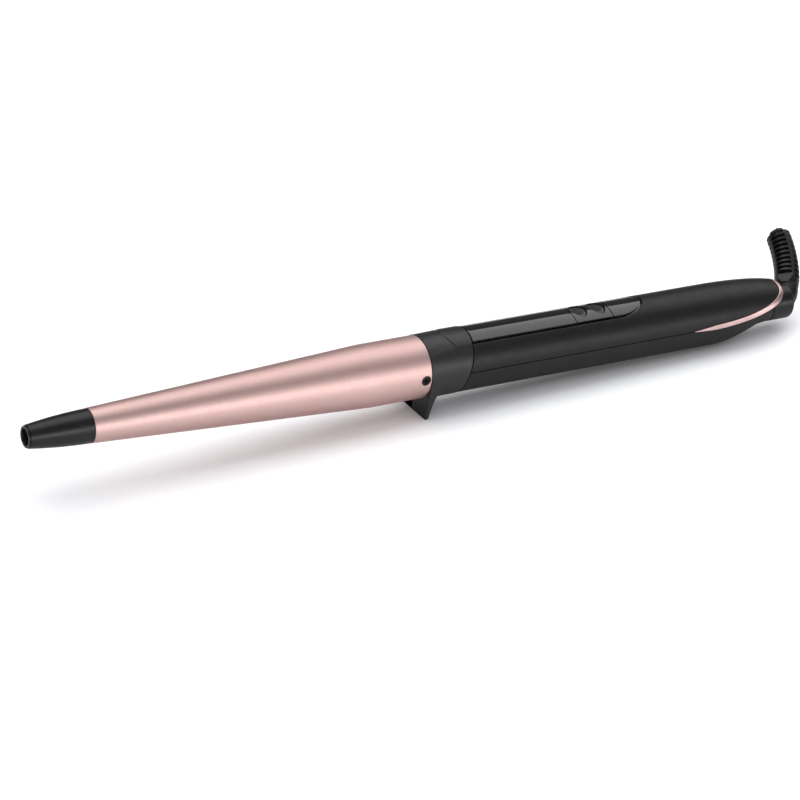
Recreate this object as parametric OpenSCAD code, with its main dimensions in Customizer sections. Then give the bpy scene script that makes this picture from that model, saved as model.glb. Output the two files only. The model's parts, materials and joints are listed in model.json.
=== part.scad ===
// Conical hair-curling wand: heated tapered barrel, footed collar, two-shell handle
// with a glossy control fascia, and a swivelling cord outlet.
// Frame: X is the wand's axis, from the cool tip (-X) to the cord (+X).
// +Z points up through the buttons and the foot hangs below. Millimetres.
// Origin: on the axis, where the barrel meets the collar.

/* [Barrel] */
// Radius of the barrel's thick end
barrel_r = 12.5; // [12:0.1:12.7]
// Radius of the barrel's thin end
barrel_tip_r = 6.7; // [6.2:0.1:7]
// Length of the barrel from the collar to the cool tip
barrel_len = 140; // [136:1:150]
// Length of the barrel's parallel part next to the collar
barrel_parallel = 24; // [20:1:28]
// Wall thickness of the barrel tube
barrel_wall = 1.2; // [1:0.1:1.3]

/* [Cool tip] */
// Length of the cool tip
tip_len = 25.5; // [24:0.5:30]
// Radius of the cool tip's open end
tip_end_r = 4.3; // [4.1:0.1:4.8]
// Radius of the hole in the cool tip
tip_bore_r = 3.2; // [2.7:0.1:3.3]

/* [Collar and foot] */
// Radius of the collar
collar_r = 12.9; // [12.8:0.05:13.2]
// How far the foot's sole lies below the axis
foot_drop = 18.8; // [17:0.1:22]
// Half the width of the foot's sole
foot_half_w = 10; // [8:0.5:12]

/* [Handle] */
// Radius of the grip
grip_r = 12.75; // [12.6:0.05:12.9]
// Half the width of the glossy fascia
fascia_half_w = 7.76; // [7.4:0.02:8]
// Where the fascia's rounded rear end stops
fascia_end = 103.7; // [102:0.1:106]
// Width of the metallic trim band
trim_w = 2.1; // [1.6:0.1:2.4]

/* [Buttons] */
// Distance between the two buttons
button_pitch = 8.7; // [8.6:0.1:9.2]
// Length of a button along the handle
button_len = 6.1; // [5.6:0.1:6.3]
// Width of a button across the handle
button_w = 9; // [8:0.1:9.2]
// How far a button is pressed in
button_travel = 0.6; // [0.3:0.1:0.6]

/* [Cord outlet] */
// Radius of the swivel hub
hub_r = 7.35; // [7.2:0.05:7.4]
// Angle of the hub's elbow away from the axis
elbow_angle = 64; // [50:1:70]
// Direction of the elbow round the axis, from +Z towards +Y
outlet_turn = 52; // [0:1:90]
// Radius of the strain relief along its slots
boot_r = 5.3; // [4.9:0.1:5.5]
// Radius of the cord
cord_r = 3; // [2.8:0.05:3]

/* [Hidden] */
$fn = 72;

// Small distances that every piece shares
gap = 0.05;             // touching parts stay this far apart
seam = 0.15;            // visible joint line between covers
far = 40;               // longer than any cross-section

// Barrel and heater stations along X
barrel_bore_r = barrel_r - barrel_wall;
screw_x = -2.6;
screw_head_r = 1.85;
screw_hole_r = 2.05;
holder_front = -9;
holder_flange_x = 10;
holder_end = 12;
holder_r = barrel_bore_r - 0.1;
holder_bore_r = 9;
holder_flange_r = 11.8;
heater_start = 24 - barrel_len;
heater_end = -30;

// Cool tip stations
tip_mouth = -barrel_len - tip_len;
tip_floor = -barrel_len - 6.5;

// Collar: its rear edge and the crease of its front face are slanted planes
collar_rear_x = 17;
collar_rear_slope = 0.265;
crease_x = 2.8;
crease_slope = 0.28;
collar_socket_r = 11.95;
sole_len = 1.3;
rib_half_w = 1.6;

// Handle stations
shell_front = holder_end + 0.2;
cavity_r = 10.6;
spigot_r = collar_socket_r - 0.1;
close_start = 138;
top_close_len = 38.5;
top_close_depth = 5.2;
neck_start = 160;
neck_r = 7.2;
neck_end = 168.1;
bottom_r = 12.6;
bush_front = 158.2;
bush_bore_r = 6;
hub_front = neck_end + 0.2;
hub_rear = 178.8;
hub_seat_r = hub_r + 0.15;

// Trim band: a quarter ellipse in side view, from the seam up to the handle's rear top
trim_start = 123;
trim_reach = 49;
trim_rise = 10;
trim_drop = 0.2;
trim_steps = 16;
trim_blend = 12;

// Fascia and buttons
window_x0 = 42;
window_x1 = 92;
window_half_w = 6.2;
window_z = 5;
fascia_in_r = 11.45;
fascia_out_r = grip_r - 0.03;
fascia_nose = 14.2;
panel_mid = 77.95;
panel_len = 17.3;
panel_half_w = 7.1;
button_clear = 0.2;
button_sink = 0.4;
button_base_z = 9.2;
flange_h = 0.9;
flange_lip = 0.6;
plunger_top = button_base_z - 1;
switch_h = 3;
switch_floor = 0.6;
plunger_r = 1.6;

// Circuit board and the leads soldered under its rear end
board_z = 2.4;
board_t = 1.6;
board_top = board_z + board_t;
board_x0 = 27;
board_x1 = 117;
board_half_w = 8;
post_spots = [[33, 5.5], [111, -5.5]];
post_base = -9.6;
post_r = 2;
board_screw_r = 0.9;

lead_y = 5.2;
lead_r = 0.9;
lead_z = board_z - lead_r - 2 * gap;

// Shell screws: the front one passes through the board, the rear one is behind it
shell_screw_spots = [38, 126];
shell_head_z = -6;
boss_r = 2.8;
boss_pilot_r = 1.2;
shell_head_r = 2.3;
shell_shank_r = 1.15;

// Cord outlet: elbow and a short neck, then the strain relief's plain base and its slotted curve.
// Lengths run from the elbow's end. The slots stand in four columns, every other one half a pitch on.
elbow_x = 175.5;
elbow_bend = 7;
elbow_wall_r = 4.75;
outlet_neck = 1.3;
boot_base_r = 4.9;
boot_base_len = 5.2;
boot_bend = 50;
boot_turn = 26;
slot_levels = 10;
slot_first = 0.55;
slot_pitch = 2.2;
slot_t = 1.05;
slot_depth = 1.3;
slot_w = 5.9;
slot_turn = -41;
spigot_hub_r = 4;
jacket_start = 170.5;

// A solid of revolution about X from [radius, x] points
module revolve_x(points) {
    rotate([0, 90, 0]) rotate_extrude() polygon(points);
}

// A rod along X
module rod_x(x0, x1, r) {
    translate([x0, 0, 0]) rotate([0, 90, 0]) cylinder(h = x1 - x0, r = r);
}

// A tube along X
module tube_x(x0, x1, r, bore) {
    difference() {
        rod_x(x0, x1, r);
        rod_x(x0 - 1, x1 + 1, bore);
    }
}

// A box from its lowest to its highest corner
module block(low, high) {
    translate(low) cube(high - low);
}

// Outline points of an oval, length along X and width along Y
function oval(length, width) =
    [for (a = [0 : 10 : 350]) [length / 2 * cos(a), width / 2 * sin(a)]];

// ---- Barrel ----

function barrel_outer(x) = x > -barrel_parallel ? barrel_r :
    barrel_tip_r + (barrel_r - barrel_tip_r) * (x + barrel_len) / (barrel_len - barrel_parallel);
function barrel_inner(x) = barrel_outer(x) - barrel_wall;

module barrel() {
    color("#d8aaa4") difference() {
        revolve_x([
            [barrel_tip_r, -barrel_len],
            [barrel_r, -barrel_parallel],
            [barrel_r, -seam],
            [barrel_bore_r, -seam],
            [barrel_bore_r, -barrel_parallel],
            [barrel_tip_r - barrel_wall, -barrel_len]]);
        translate([screw_x, 0, 0]) rotate([90, 0, 0])
            cylinder(h = far, r = screw_hole_r, center = true);
    }
}

// A screw that lies on its side and faces -Y
module barrel_screw() {
    translate([screw_x, -barrel_bore_r - gap, 0]) rotate([90, 0, 0]) difference() {
        union() {
            cylinder(h = 0.8, r = screw_head_r);
            translate([0, 0, -2.2]) cylinder(h = 2.3, r = 0.9);
        }
        translate([0, 0, 0.35]) cylinder(h = 1, r = 0.8, $fn = 6);
    }
}

module barrel_screws() {
    color("#2b2b2d") {
        barrel_screw();
        mirror([0, 1, 0]) barrel_screw();
    }
}

// Heat-resistant insert that joins the barrel to the handle
module barrel_holder() {
    color("#3a332c") difference() {
        revolve_x([
            [holder_bore_r, holder_front],
            [holder_r, holder_front],
            [holder_r, holder_flange_x],
            [holder_flange_r, holder_flange_x],
            [holder_flange_r, holder_end],
            [holder_bore_r, holder_end]]);
        translate([screw_x, 0, 0]) rotate([90, 0, 0])
            cylinder(h = far, r = 0.9 + gap, center = true);
    }
}

// ---- Cool tip ----

// The tip narrows slowly at first and faster towards its mouth
function tip_r(u) = barrel_tip_r - 0.1 - (barrel_tip_r - 0.1 - tip_end_r) * (0.25 * u + 0.75 * u * u);

module cool_tip() {
    edge = 0.5;
    spigot_end = -barrel_len + 1.6;
    screw_hole = 1.6;
    tip_spigot_r = barrel_tip_r - barrel_wall - 0.25;
    color("#232325") revolve_x(concat(
        [[screw_hole, spigot_end], [tip_spigot_r, spigot_end], [tip_spigot_r, -barrel_len - gap]],
        [for (u = [0 : 0.125 : 1]) [tip_r(u), -barrel_len - gap - u * (tip_len - edge)]],
        [[tip_end_r - 0.15, tip_mouth + 0.15],
            [tip_end_r - edge, tip_mouth],
            [tip_bore_r, tip_mouth],
            [tip_bore_r, tip_floor],
            [screw_hole, tip_floor]]));
}

module tip_screw() {
    head = 2.4;
    color("#8d8d90") difference() {
        union() {
            rod_x(tip_floor - head - gap, tip_floor - gap, tip_bore_r - 0.25);
            rod_x(tip_floor - 1, -barrel_len + 7, 1.5);
        }
        rod_x(tip_floor - head - 1, tip_floor - 1.2, 1.2, $fn = 6);
    }
}

module tip_plug() {
    color("#8d8d90") tube_x(-barrel_len + 2, -barrel_len + 6,
        barrel_tip_r - barrel_wall - gap, 1.5 + gap);
}

// ---- Heater ----

// The cone that fills the barrel between two stations
module heater_cone(x0, x1) {
    fit = 0.12;
    revolve_x([
        [0, x0],
        [barrel_inner(x0) - fit, x0],
        [barrel_inner(x1) - fit, x1],
        [0, x1]]);
}

module heat_spreader_upper() {
    color("#b9bcc0") intersection() {
        heater_cone(heater_start, heater_end);
        block([heater_start - 1, -far, 2.6], [heater_end + 1, far, far]);
    }
}

module heat_spreader_lower() {
    color("#b9bcc0") intersection() {
        heater_cone(heater_start, heater_end);
        block([heater_start - 1, -far, -far], [heater_end + 1, far, -1.45]);
    }
}

module heater_plate() {
    color("#e9e4da") block([heater_start + 2, -4.5, -1], [heater_end - 2, 4.5, 1]);
}

module mica_sheets() {
    color("#c9b27c") for (z = [-1.4, 1.05])
        block([heater_start + 1, -5, z], [heater_end - 1, 5, z + 0.35]);
}

// A bowed strip that presses the heater against the spreaders
module clamp_spring() {
    waves = 4;
    low = 1.5;
    lift = 0.6;
    x0 = heater_start + 6;
    length = heater_end - heater_start - 12;
    crest = [for (u = [0 : 0.03125 : 1])
        [x0 + u * length, low + lift * (1 - cos(360 * waves * u)) / 2]];
    under = [for (i = [len(crest) - 1 : -1 : 0]) crest[i]];
    color("#9aa0a6") translate([0, 3, 0]) rotate([90, 0, 0]) linear_extrude(6)
        polygon(concat([for (p = crest) p + [0, 0.3]], under));
}

module thermal_fuse() {
    color("#c8c4bb") translate([0, 0, 4.6]) {
        rod_x(-22, -10, 2);
        rod_x(-26, -21, 0.5);
        rod_x(-11, 25, 0.5);
    }
}

module temperature_sensor() {
    color("#7a2f22") translate([0, 0, -5]) {
        rod_x(-28, -23, 1.2);
        for (y = [-0.6, 0.6])
            translate([0, y, 0]) rod_x(-23.5, 26, 0.35);
    }
}

module heater_leads() {
    color("#efe9df") for (y = [-3, 3])
        translate([0, y, 0]) rod_x(heater_end - 1.9, 24, 0.8);
}

module insulating_sleeve() {
    color("#d9d4c4") tube_x(-8, 20, 8.4, 8);
}

// ---- Collar and foot ----

// Everything behind a plane that crosses the axis at x and leans back by slope upwards
module behind_plane(x, slope) {
    translate([x, 0, 0]) rotate([0, atan(slope), 0])
        translate([0, -far, -far]) cube([4 * far, 2 * far, 2 * far]);
}

// Front ring, foot plate and their joint: the flat face runs from the barrel down to the sole
module foot_plate() {
    slice_t = 0.5;
    hull() {
        rod_x(0, 0.3, barrel_r + 0.05, $fn = 64);
        intersection() {
            rod_x(0, crease_x + 12, collar_r, $fn = 64);
            difference() {
                behind_plane(crease_x, -crease_slope);
                behind_plane(crease_x + slice_t, -crease_slope);
            }
        }
        block([0, -foot_half_w, -foot_drop - slice_t], [sole_len, foot_half_w, -foot_drop]);
    }
}

// The rib that braces the foot plate from behind
module foot_rib() {
    hull() {
        block([0, -rib_half_w, -foot_drop], [sole_len, rib_half_w, -foot_drop + 1]);
        block([5, -rib_half_w, -collar_socket_r - 0.4], [12, rib_half_w, -collar_socket_r - 0.1]);
    }
}

module collar() {
    color("#37373a") difference() {
        union() {
            intersection() {
                rod_x(0, 30, collar_r);
                behind_plane(crease_x, -crease_slope);
                difference() {
                    rod_x(-1, 40, far);
                    behind_plane(collar_rear_x, collar_rear_slope);
                }
            }
            foot_plate();
            foot_rib();
        }
        rod_x(-5, holder_flange_x, barrel_bore_r);
        rod_x(holder_flange_x - 0.1, 40, collar_socket_r);
        block([-1, -far, -far], [far, far, -foot_drop]);
    }
}

// ---- Handle shells ----

// Radius of the handle's top, which closes at the rear like a quarter ellipse
function top_r(x) = x < close_start ? grip_r :
    grip_r - top_close_depth * (1 - sqrt(max(0, 1 - pow((x - close_start) / top_close_len, 2))));
// Depth of the handle's belly, which sweeps up to the neck
function belly_r(x) = x < close_start ? bottom_r :
    bottom_r - (bottom_r - neck_r) * (1 - cos(90 * (x - close_start) / (neck_start - close_start)));
// Half-width of the lower shell, which narrows later than its belly
function flank_r(x) = x < close_start ? grip_r :
    neck_r + (grip_r - neck_r) * cos(90 * (x - close_start) / (neck_end - close_start));

shell_rear = close_start + top_close_len - 0.5;

// The full upper form: a revolved profile behind the slanted collar edge, with a spigot
module upper_form() {
    revolve_x(concat(
        [[0, shell_front], [grip_r, shell_front]],
        [for (x = [close_start : 2.5 : shell_rear]) [top_r(x), x]],
        [[top_r(shell_rear), shell_rear], [0, shell_rear]]));
}

// The full lower form: narrower at the rear, with its belly cut to the side profile
module lower_form() {
    intersection() {
        revolve_x(concat(
            [[0, shell_front], [grip_r, shell_front]],
            [for (x = [close_start : 2.5 : neck_end - 1.5]) [flank_r(x), x]],
            [[neck_r, neck_end - 0.5], [neck_r, neck_end], [0, neck_end]]));
        translate([0, far, 0]) rotate([90, 0, 0]) linear_extrude(2 * far)
            polygon(concat(
                [[0, far], [0, -far], [close_start, -far]],
                [for (x = [close_start : 2 : neck_start]) [x, -belly_r(x)]],
                [[neck_start, -neck_r], [neck_end + 1, -neck_r], [neck_end + 1, far]]));
    }
}

// The hollow inside both shells, down to the bush seat
module handle_cavity() {
    revolve_x([
        [0, shell_front - 1],
        [cavity_r, shell_front - 1],
        [cavity_r, 145],
        [bush_bore_r, 155],
        [bush_bore_r, neck_end - 0.4],
        [hub_seat_r, neck_end + gap],
        [hub_seat_r, shell_rear + 1],
        [0, shell_rear + 1]]);
}

// The joint that the covers share with the collar: a spigot in front of the slanted edge
module collar_rebate() {
    difference() {
        rod_x(0, 40, far);
        behind_plane(collar_rear_x + seam, collar_rear_slope);
        rod_x(-1, 41, spigot_r);
    }
}

// Side-view centre line of the trim at angle a of its quarter ellipse
function trim_mid(a) = [trim_start + trim_reach * sin(a), trim_rise * (1 - cos(a)) - trim_drop * sin(a)];
function trim_dir(a) = [trim_reach * cos(a), trim_rise * sin(a)];
// The band starts as a point, and is narrower again where it crosses the top
function trim_half(a) = trim_w / 2 * min(1, a / trim_blend) * (1 - 0.25 * pow(a / 90, 8));
function trim_edge(a, side, spread) =
    let (d = trim_dir(a), n = [-d[1], d[0]] / norm(d))
    trim_mid(a) + side * (trim_half(a) + spread) * n;
function trim_line(side, spread) =
    [for (i = [0 : trim_steps]) trim_edge(90 * i / trim_steps, side, spread)];

module side_slab(points) {
    translate([0, far, 0]) rotate([90, 0, 0]) linear_extrude(2 * far) polygon(points);
}

// Everything above the seam and above the trim
module above_trim(spread) {
    upper = trim_line(1, spread);
    last = upper[trim_steps];
    side_slab(concat([[0, spread]], [[trim_start - 1, spread]], [for (i = [1 : trim_steps]) upper[i]],
        [[last[0], far], [0, far]]));
}

// Everything below the seam and below the trim
module below_trim(spread) {
    lower = trim_line(-1, spread);
    last = lower[trim_steps];
    side_slab(concat([[0, -spread]], [[trim_start - 1, -spread]], [for (i = [1 : trim_steps]) lower[i]],
        [[last[0], far], [200, far], [200, -far], [0, -far]]));
}

// The trim band itself, closed over the top
module trim_band() {
    upper = trim_line(1, 0);
    lower = trim_line(-1, 0);
    side_slab(concat(
        [for (i = [1 : trim_steps]) lower[i]],
        [[lower[trim_steps][0], far], [upper[trim_steps][0], far]],
        [for (i = [trim_steps : -1 : 1]) upper[i]]));
}

// Plan outline of the fascia, grown by spread on every side
module fascia_slab(spread) {
    nose_x = fascia_end - fascia_nose;
    half_w = fascia_half_w + spread;
    linear_extrude(far) polygon(concat(
        [[0, -half_w]],
        [for (a = [-90 : 7.5 : 90]) [nose_x + (fascia_nose + spread) * cos(a), half_w * sin(a)]],
        [[0, half_w]]));
}

// Bosses of the upper shell: the front one ends above the board, the rear one at the seam
module upper_bosses() {
    for (x = shell_screw_spots) translate([x, 0, 0]) difference() {
        translate([0, 0, x < board_x1 ? board_top + gap : seam / 2])
            cylinder(h = cavity_r + 0.3 - (x < board_x1 ? board_top : 0), r = boss_r);
        cylinder(h = cavity_r - 1.2, r = boss_pilot_r);
    }
}

// Bosses of the lower shell reach up to the board or to the seam
module lower_bosses() {
    base = -cavity_r - 0.3;
    for (x = shell_screw_spots) translate([x, 0, base])
        cylinder(h = (x < board_x1 ? board_z - gap : -seam / 2) - base, r = boss_r);
}

module upper_shell() {
    color("#29292b") difference() {
        union() {
            difference() {
                intersection() {
                    upper_form();
                    above_trim(seam / 2);
                }
                handle_cavity();
            }
            upper_bosses();
        }
        collar_rebate();
        difference() {
            fascia_slab(seam);
            rod_x(0, 150, fascia_in_r - gap);
        }
        block([window_x0, -window_half_w, window_z], [window_x1, window_half_w, far]);
    }
}

module lower_shell() {
    color("#29292b") difference() {
        union() {
            difference() {
                intersection() {
                    lower_form();
                    below_trim(seam / 2);
                }
                handle_cavity();
            }
            lower_bosses();
            for (spot = post_spots)
                translate([spot[0], spot[1], post_base]) cylinder(h = board_z - gap - post_base, r = post_r);
        }
        collar_rebate();
        for (x = shell_screw_spots) translate([x, 0, 0]) {
            translate([0, 0, -far]) cylinder(h = far + shell_head_z, r = shell_head_r + 0.2);
            translate([0, 0, -far]) cylinder(h = 2 * far, r = shell_shank_r + 0.25);
        }
        for (spot = post_spots)
            translate([spot[0], spot[1], -3]) cylinder(h = far, r = board_screw_r + gap);
    }
}

module rear_trim() {
    color("#dcb1ac") difference() {
        intersection() {
            upper_form();
            trim_band();
        }
        handle_cavity();
    }
}

module shell_screws() {
    head_h = 1.8;
    color("#8d8d90") for (x = shell_screw_spots) translate([x, 0, shell_head_z]) difference() {
        union() {
            translate([0, 0, -head_h - gap]) cylinder(h = head_h, r = shell_head_r);
            translate([0, 0, -1]) cylinder(h = 1 - shell_head_z + 8, r = shell_shank_r);
        }
        translate([0, 0, -head_h - 1]) cylinder(h = 1.9, r = 1, $fn = 6);
    }
}

// ---- Fascia, panel and buttons ----

module panel_slab(spread) {
    linear_extrude(far) translate([panel_mid - panel_len / 2 - spread, -panel_half_w - spread])
        square([panel_len + 2 * spread, 2 * panel_half_w + 2 * spread]);
}

module fascia() {
    color("#1a1a1d") difference() {
        intersection() {
            tube_x(15, fascia_end, fascia_out_r, fascia_in_r);
            fascia_slab(0);
            behind_plane(collar_rear_x + 2 * seam, collar_rear_slope);
        }
        panel_slab(seam);
    }
}

module button_spots() {
    for (side = [-1, 1])
        translate([panel_mid + side * button_pitch / 2, 0, 0]) children();
}

module button_panel() {
    color("#1d1d20") difference() {
        intersection() {
            tube_x(60, 95, fascia_out_r, fascia_in_r + gap);
            panel_slab(0);
        }
        button_spots() linear_extrude(far)
            polygon(oval(button_len + 2 * button_clear, button_w + 2 * button_clear));
    }
}

// One push button: a dished oval cap, a lip that keeps it under the panel, and a stem
module push_button(x) {
    crown_r = grip_r - button_sink;
    dish_r = 16;
    dish_depth = 0.5;
    color("#202023") intersection() {
        difference() {
            union() {
                translate([x, 0, button_base_z]) linear_extrude(far)
                    polygon(oval(button_len, button_w));
                translate([x, 0, button_base_z]) linear_extrude(flange_h)
                    polygon(oval(button_len + 2 * flange_lip, button_w + 2 * flange_lip));
                translate([x, 0, plunger_top + gap]) cylinder(h = 2, r = 1.4);
            }
            translate([x, 0, crown_r + dish_r - dish_depth]) sphere(r = dish_r);
        }
        rod_x(x - 10, x + 10, crown_r);
    }
}

module power_button() {
    push_button(panel_mid - button_pitch / 2);
}

module temperature_button() {
    push_button(panel_mid + button_pitch / 2);
}

// Stands clear of the switch's floor by a little more than the button's travel
module plunger(x) {
    base = board_top + switch_floor + button_travel + 0.3;
    color("#b9352c") translate([x, 0, base]) cylinder(h = plunger_top - base, r = plunger_r);
}

module power_plunger() {
    plunger(panel_mid - button_pitch / 2);
}

module temperature_plunger() {
    plunger(panel_mid + button_pitch / 2);
}

module tact_switches() {
    color("#55585c") button_spots() difference() {
        block([-3, -3, board_top + gap], [3, 3, board_top + switch_h]);
        translate([0, 0, board_top + switch_floor]) cylinder(h = switch_h, r = plunger_r + gap);
    }
}

// ---- Electronics ----

module circuit_board() {
    color("#1f6b45") difference() {
        block([board_x0, -board_half_w, board_z], [board_x1, board_half_w, board_top]);
        for (spot = post_spots)
            translate([spot[0], spot[1], 0]) cylinder(h = far, r = board_screw_r + 0.2);
        translate([shell_screw_spots[0], 0, 0]) cylinder(h = far, r = shell_shank_r + 0.35);
    }
}

module board_screws() {
    color("#9a9ca0") for (spot = post_spots) translate([spot[0], spot[1], 0]) {
        translate([0, 0, board_top + gap]) cylinder(h = 1.2, r = 1.8);
        translate([0, 0, -2]) cylinder(h = board_top + 2.5, r = board_screw_r);
    }
}

module display_module() {
    color("#2a2d33") block([44, -4.5, board_top + gap], [66, 4.5, 9]);
}

module microcontroller() {
    color("#18181a") block([92, -3.5, board_top + gap], [99, 3.5, board_top + 1.6]);
}

module film_capacitor() {
    color("#c7a23a") block([90, -5, -5.5], [106, 5, board_z - gap]);
}

module smoothing_capacitor() {
    color("#27405e") translate([0, 0, board_z - gap - 4.05]) rod_x(64, 82, 4);
}

module triac() {
    color("#1c1c1e") {
        block([46, -5, board_z - 4.5], [56, 5, board_z - gap]);
        block([55, -5, board_z - 1.4], [60, 5, board_z - gap]);
    }
}

module fuse_resistor() {
    color("#4f7f5c") translate([0, 5.4, board_z - gap - 1.65]) rod_x(66, 76, 1.6);
}

module mains_leads() {
    color("#6d4a2f") for (y = [-lead_y, lead_y])
        translate([0, y, lead_z]) rod_x(board_x1 - 3, 137, lead_r);
}

// ---- Swivel contacts ----

ring_spots = [141, 146];
ring_len = 2.4;
ring_r = 3.3;
core_r = 2.4;

module slip_ring_core() {
    color("#e6e1d2") difference() {
        rod_x(138.5, 150.4, core_r);
        for (y = [-1, 1]) translate([0, y, 0]) rod_x(149, 152, 0.75);
    }
}

module slip_rings() {
    color("#c98a4b") for (x = ring_spots) tube_x(x, x + ring_len, ring_r, core_r + gap);
}

// Each brush is a strip whose end rests beside its ring
module brush_contacts() {
    color("#d0a35c") for (i = [0, 1]) mirror([0, i, 0])
        block([136.5, ring_r + gap, -1], [ring_spots[i] + ring_len, ring_r + gap + 0.4, 1]);
}

module brush_holder() {
    color("#d9d2c0") difference() {
        block([135, -6.6, -3.2], [139.5, 6.6, 3.2]);
        rod_x(130, 145, core_r + 0.3);
        for (i = [0, 1]) mirror([0, i, 0])
            block([136.4, ring_r, -1.05], [145, ring_r + 0.5, 1.05]);
        for (y = [-lead_y, lead_y])
            translate([0, y, lead_z]) rod_x(130, 137.2, lead_r + gap);
    }
}

// ---- Cord outlet ----

module swivel_bush() {
    color("#dedbd3") tube_x(bush_front, neck_end - 0.6, bush_bore_r - gap, spigot_hub_r + gap);
}

module swivel_clip() {
    color("#8d8d90") difference() {
        tube_x(bush_front - 1, bush_front - 0.2, 5.4, 3.3);
        block([bush_front - 2, -1.5, -far], [bush_front + 1, 1.5, 0]);
    }
}

// Turns the outlet's plane round the axis and moves to the start of the elbow
module outlet_frame() {
    rotate([-outlet_turn, 0, 0]) translate([elbow_x, 0, 0]) children();
}

// A bend that starts at the origin heading +X and turns towards +Z
module bend(bend_r, turn, tube_r) {
    translate([0, 0, bend_r]) rotate([90, 90, 0]) rotate_extrude(angle = turn)
        translate([bend_r, 0]) circle(r = tube_r);
}

module after_bend(bend_r, turn) {
    translate([bend_r * sin(turn), 0, bend_r * (1 - cos(turn))]) rotate([0, -turn, 0]) children();
}

// The whole cord line from the jacket's start to a little past the boot's end
module cord_line(r, extra) {
    rotate([-outlet_turn, 0, 0]) rod_x(jacket_start, elbow_x, r);
    outlet_frame() {
        bend(elbow_bend, elbow_angle, r);
        after_bend(elbow_bend, elbow_angle) {
            rod_x(0, boot_base_len, r);
            translate([boot_base_len, 0, 0])
                bend(boot_bend, boot_turn + extra / boot_bend * 180 / PI, r);
        }
    }
}

module swivel_hub() {
    edge = 1.2;
    color("#2c2c2e") difference() {
        union() {
            revolve_x([
                [0, 150.6],
                [spigot_hub_r, 150.6],
                [spigot_hub_r, hub_front],
                [hub_r, hub_front],
                [hub_r, hub_rear - edge],
                [hub_r - edge * 0.3, hub_rear - edge * 0.3],
                [hub_r - edge, hub_rear],
                [0, hub_rear]]);
            outlet_frame() {
                bend(elbow_bend, elbow_angle, elbow_wall_r);
                after_bend(elbow_bend, elbow_angle) rod_x(-0.3, outlet_neck, boot_base_r);
            }
        }
        tube_x(bush_front - 1.05, bush_front - 0.15, spigot_hub_r + 1, 3.25);
        rod_x(150, jacket_start + 1, 2);
        rotate([-outlet_turn, 0, 0]) rod_x(jacket_start, elbow_x, cord_r + gap);
        outlet_frame() {
            bend(elbow_bend, elbow_angle, cord_r + gap);
            after_bend(elbow_bend, elbow_angle) rod_x(-1, 3, cord_r + gap);
        }
    }
}

function slot_place(level, column) = slot_first + (level + (column % 2) / 2) * slot_pitch;

module boot_slots() {
    for (level = [0 : slot_levels - 1])
        for (column = [0 : 3])
            after_bend(boot_bend, slot_place(level, column) / boot_bend * 180 / PI)
                rotate([slot_turn - column * 90, 0, 0])
                    translate([-slot_t / 2, -slot_w / 2, boot_r - slot_depth])
                        cube([slot_t, slot_w, 2]);
}

module strain_relief() {
    color("#1b1b1c") outlet_frame() after_bend(elbow_bend, elbow_angle) difference() {
        union() {
            translate([outlet_neck + gap, 0, 0]) rotate([0, 90, 0])
                cylinder(h = boot_base_len - outlet_neck - gap, r1 = boot_base_r, r2 = boot_r);
            translate([boot_base_len, 0, 0]) bend(boot_bend, boot_turn, boot_r);
        }
        rod_x(-1, boot_base_len, cord_r + gap);
        translate([boot_base_len, 0, 0]) {
            bend(boot_bend, boot_turn, cord_r + gap);
            boot_slots();
        }
    }
}

module cord() {
    color("#161617") cord_line(cord_r, 1);
}

module cord_conductors() {
    color("#b87333") {
        for (y = [-1, 1]) translate([0, y, 0]) rod_x(149.4, jacket_start - gap, 0.7);
        outlet_frame() after_bend(elbow_bend, elbow_angle) translate([boot_base_len, 0, 0])
            after_bend(boot_bend, boot_turn)
                for (y = [-1.1, 1.1]) translate([1 + gap, y, 0]) rod_x(0, 0.6, 0.7);
    }
}

barrel();
barrel_screws();
barrel_holder();
cool_tip();
tip_screw();
tip_plug();
heat_spreader_upper();
heat_spreader_lower();
heater_plate();
mica_sheets();
clamp_spring();
thermal_fuse();
temperature_sensor();
heater_leads();
insulating_sleeve();
collar();
upper_shell();
lower_shell();
rear_trim();
fascia();
button_panel();
power_button();
temperature_button();
power_plunger();
temperature_plunger();
tact_switches();
circuit_board();
display_module();
film_capacitor();
smoothing_capacitor();
triac();
microcontroller();
fuse_resistor();
board_screws();
shell_screws();
mains_leads();
brush_holder();
brush_contacts();
slip_ring_core();
slip_rings();
swivel_bush();
swivel_clip();
swivel_hub();
strain_relief();
cord();
cord_conductors();
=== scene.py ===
"""Looks of the conical curling wand: fine mouldings, finishes and a small studio round the CAD frame.

Shapes are worked out in millimetres and written in metres. X is the wand's axis. Angles round the axis
are in degrees from the -Y side (0) over the top (90) to the +Y side (180); the belly is at -90.
"""
import json
from math import acos, asin, atan2, ceil, copysign, cos, exp, hypot, inf, log, pi, sin, sqrt

import bmesh
import bpy
import numpy as np
from mathutils import Matrix, Vector
from mathutils.geometry import delaunay_2d_cdt
from numpy.linalg import norm


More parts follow.
